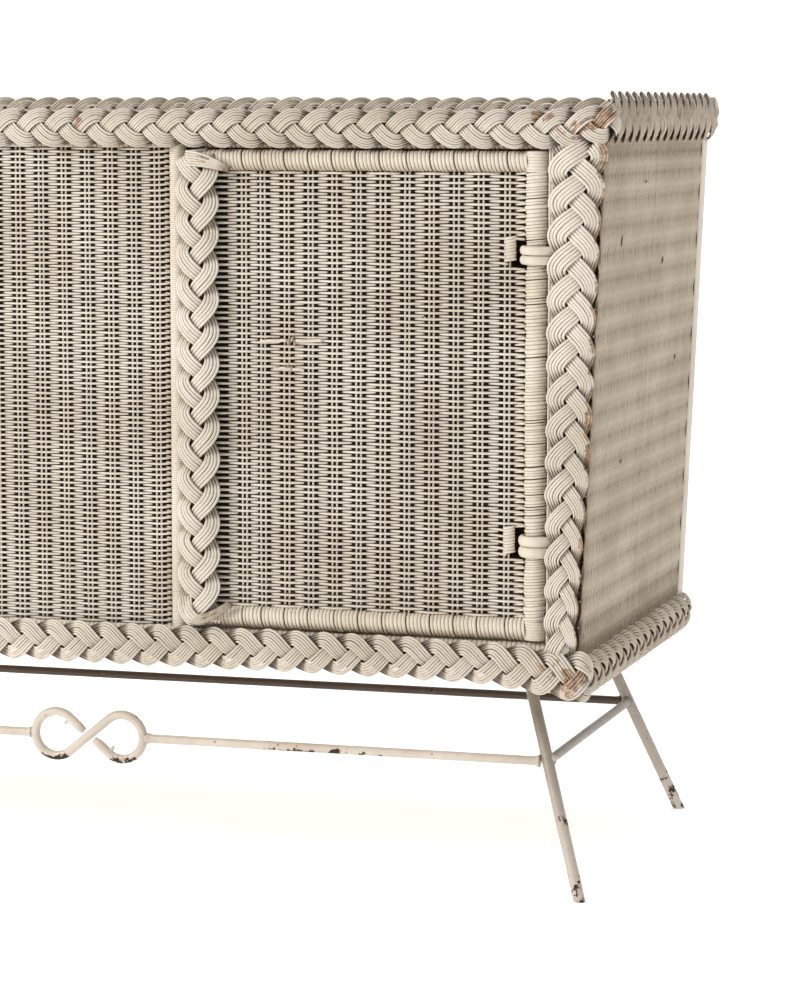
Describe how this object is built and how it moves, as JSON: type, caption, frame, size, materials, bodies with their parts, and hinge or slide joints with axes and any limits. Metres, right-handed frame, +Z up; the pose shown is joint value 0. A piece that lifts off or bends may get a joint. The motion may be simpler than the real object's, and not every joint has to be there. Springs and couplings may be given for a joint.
{
  "type": "wicker sideboard cabinet",
  "caption": "Woven wicker sideboard with plaited edges and hinged side doors, standing on a splayed bent-iron rod frame.",
  "frame": {"origin": "middle of the footprint on the floor", "axes": "+Z up, front towards -Y, +X towards the viewer's right when facing the front"},
  "size_m": [1.162, 0.5254, 0.8],
  "materials": {
    "iron_paint": "chipped gloss paint",
    "pole_wrap": "painted cane wrapping",
    "weave_paint": "painted reed weave",
    "braid_paint": "painted reed plait",
    "floor_board": "painted board"
  },
  "bodies": {
    "cabinet": {"leg_front_right": "iron_paint", "leg_front_left": "iron_paint", "leg_rear_right": "iron_paint", "leg_rear_left": "iron_paint", "mount_bar_right": "iron_paint", "mount_bar_left": "iron_paint", "stretcher_front_right": "iron_paint", "stretcher_front_left": "iron_paint", "stretcher_rear": "iron_paint", "stretcher_side_right": "iron_paint", "stretcher_side_left": "iron_paint", "stretcher_scroll": "iron_paint", "corner_post_front_right": "pole_wrap", "corner_post_front_left": "pole_wrap", "corner_post_rear_right": "pole_wrap", "corner_post_rear_left": "pole_wrap", "hinge_post_right": "pole_wrap", "hinge_post_left": "pole_wrap", "centre_post_right": "pole_wrap", "centre_post_left": "pole_wrap", "rail_top_front": "pole_wrap", "rail_top_back": "pole_wrap", "rail_bottom_front": "pole_wrap", "rail_bottom_back": "pole_wrap", "hinge_ring_right_1": "pole_wrap", "hinge_ring_right_2": "pole_wrap", "hinge_ring_right_3": "pole_wrap", "hinge_ring_right_4": "pole_wrap", "hinge_ring_left_1": "pole_wrap", "hinge_ring_left_2": "pole_wrap", "hinge_ring_left_3": "pole_wrap", "hinge_ring_left_4": "pole_wrap", "panel_side_right": "weave_paint", "panel_side_left": "weave_paint", "panel_top": "weave_paint", "panel_back": "weave_paint", "panel_centre": "weave_paint", "panel_floor": "floor_board", "braid_top_front": "braid_paint", "braid_top_back": "braid_paint", "braid_top_right": "braid_paint", "braid_top_left": "braid_paint", "braid_bottom_front": "braid_paint", "braid_bottom_right": "braid_paint", "braid_bottom_left": "braid_paint", "braid_corner_right": "braid_paint", "braid_corner_left": "braid_paint"},
    "door_right": {"door_right_stile_hinge": "pole_wrap", "door_right_stile_free": "pole_wrap", "door_right_rail_top": "pole_wrap", "door_right_rail_bottom": "pole_wrap", "door_right_panel": "weave_paint", "door_right_braid": "braid_paint"},
    "door_left": {"door_left_stile_hinge": "pole_wrap", "door_left_stile_free": "pole_wrap", "door_left_rail_top": "pole_wrap", "door_left_rail_bottom": "pole_wrap", "door_left_panel": "weave_paint", "door_left_braid": "braid_paint"}
  },
  "joints": [
    {"name": "door_right_hinge", "type": "hinge", "parent": "cabinet", "child": "door_right", "pos_m": [0.4978, -0.24, 0.5], "axis": [0, 0, 1], "range_deg": [0, 90]},
    {"name": "door_left_hinge", "type": "hinge", "parent": "cabinet", "child": "door_left", "pos_m": [-0.4978, -0.24, 0.5], "axis": [0, 0, -1], "range_deg": [0, 90]}
  ]
}
